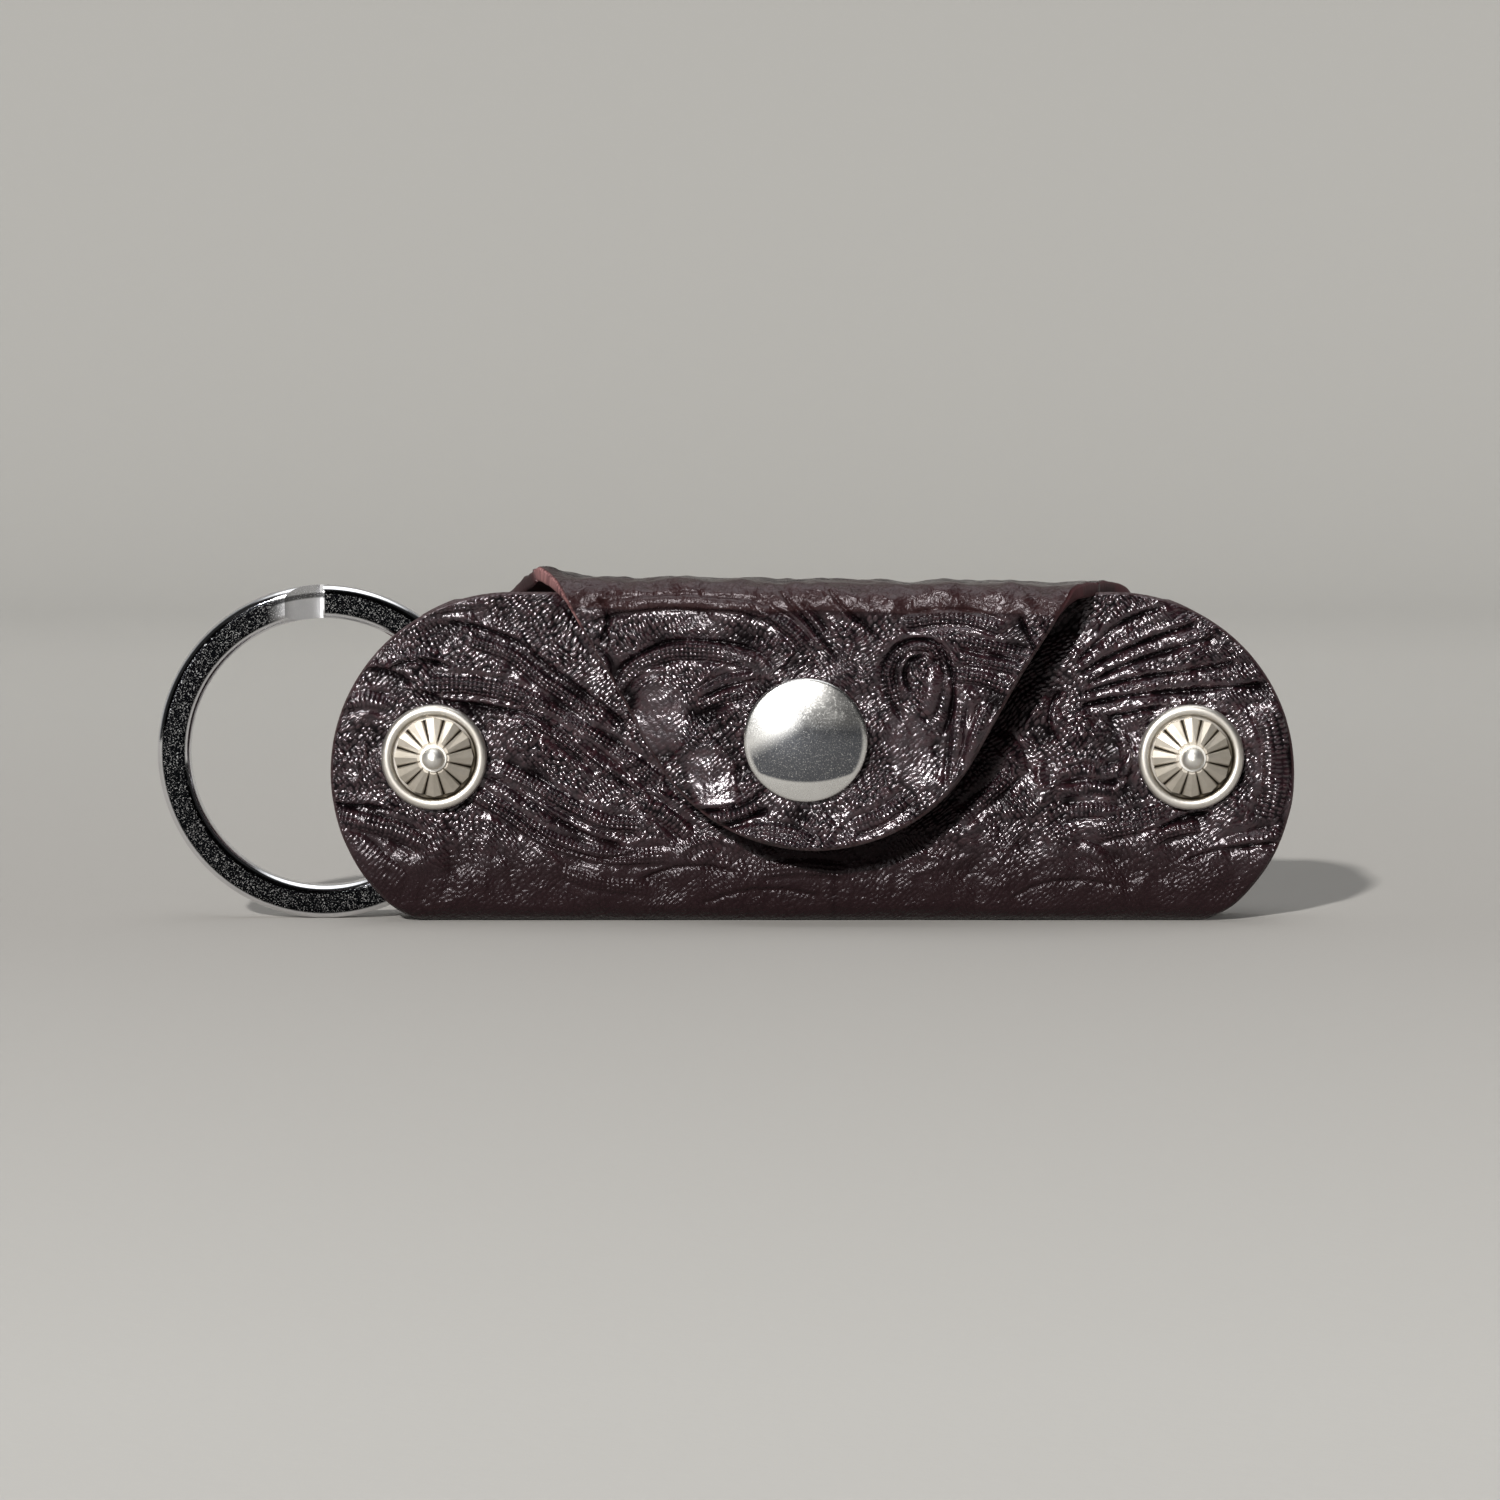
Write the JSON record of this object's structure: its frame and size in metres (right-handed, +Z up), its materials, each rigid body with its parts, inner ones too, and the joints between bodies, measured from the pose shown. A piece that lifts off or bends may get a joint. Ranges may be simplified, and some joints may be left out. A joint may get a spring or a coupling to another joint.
{
  "type": "key case",
  "caption": "Leather key case: one folded strip with a snap flap, held at each end by a concho screw post, with a split ring on one post.",
  "frame": {"origin": "centre of the flat underside of the bottom fold, on the surface that the case stands on", "axes": "+X to the right in the front view, along the case; +Y to the back; +Z up, from the bottom fold to the flap's top"},
  "size_m": [0.1153, 0.0169, 0.0351],
  "materials": {
    "leather": "glossy dark burgundy tooled leather with a scroll and leaf relief",
    "cap_silver": "polished silver plate with fine wear",
    "concho_bezel": "satin antique silver",
    "concho_burst": "bright worn antique silver with dark flutes",
    "steel": "plain nickel-plated steel",
    "ring_nickel": "bright nickel plate"
  },
  "bodies": {
    "case": {"case_body": "leather", "snap_stud": "steel", "snap_stud_rivet": "steel", "left_barrel_nut": "cap_silver", "right_barrel_nut": "cap_silver"},
    "flap_bridge": {"flap_bridge": "leather"},
    "flap_tongue": {"flap_tongue": "leather", "snap_cap": "cap_silver", "snap_cap_rivet": "steel", "snap_socket": "steel", "snap_spring": "steel"},
    "left_concho": {"left_concho_cup": "concho_bezel", "left_concho_sunburst": "concho_burst", "left_concho_ball": "concho_burst", "left_concho_screw": "steel"},
    "right_concho": {"right_concho_cup": "concho_bezel", "right_concho_sunburst": "concho_burst", "right_concho_ball": "concho_burst", "right_concho_screw": "steel"},
    "left_sleeve": {"left_spacer_sleeve": "steel"},
    "right_sleeve": {"right_spacer_sleeve": "steel"},
    "key_ring": {"key_ring": "ring_nickel"}
  },
  "joints": [
    {"name": "flap_back_bend", "type": "hinge", "parent": "case", "child": "flap_bridge", "pos_m": [0, 0.00367, 0.03387], "axis": [-1, 0, 0], "range_deg": [0, 90]},
    {"name": "flap_front_bend", "type": "hinge", "parent": "flap_bridge", "child": "flap_tongue", "pos_m": [-0.00014, -0.00845, 0.03422], "axis": [-0.9976, 0.0698, 0], "range_deg": [0, 90]},
    {"name": "left_screw_turn", "type": "hinge", "parent": "case", "child": "left_concho", "pos_m": [-0.0382, 0, 0.0168], "axis": [0, 1, 0], "continuous": true},
    {"name": "right_screw_turn", "type": "hinge", "parent": "case", "child": "right_concho", "pos_m": [0.0382, 0, 0.0168], "axis": [0, 1, 0], "continuous": true},
    {"name": "ring_swing", "type": "hinge", "parent": "case", "child": "left_sleeve", "pos_m": [-0.0382, 0, 0.0168], "axis": [0, 1, 0], "range_deg": [-2, 45]},
    {"name": "right_sleeve_turn", "type": "hinge", "parent": "case", "child": "right_sleeve", "pos_m": [0.0382, 0, 0.0168], "axis": [0, 1, 0], "continuous": true},
    {"name": "ring_turn", "type": "hinge", "parent": "left_sleeve", "child": "key_ring", "pos_m": [-0.04965, 0, 0.017], "axis": [0, 1, 0], "continuous": true}
  ],
  "couplings": [
    {"joint": "flap_back_bend", "follows": "flap_front_bend", "ratio": 1}
  ]
}
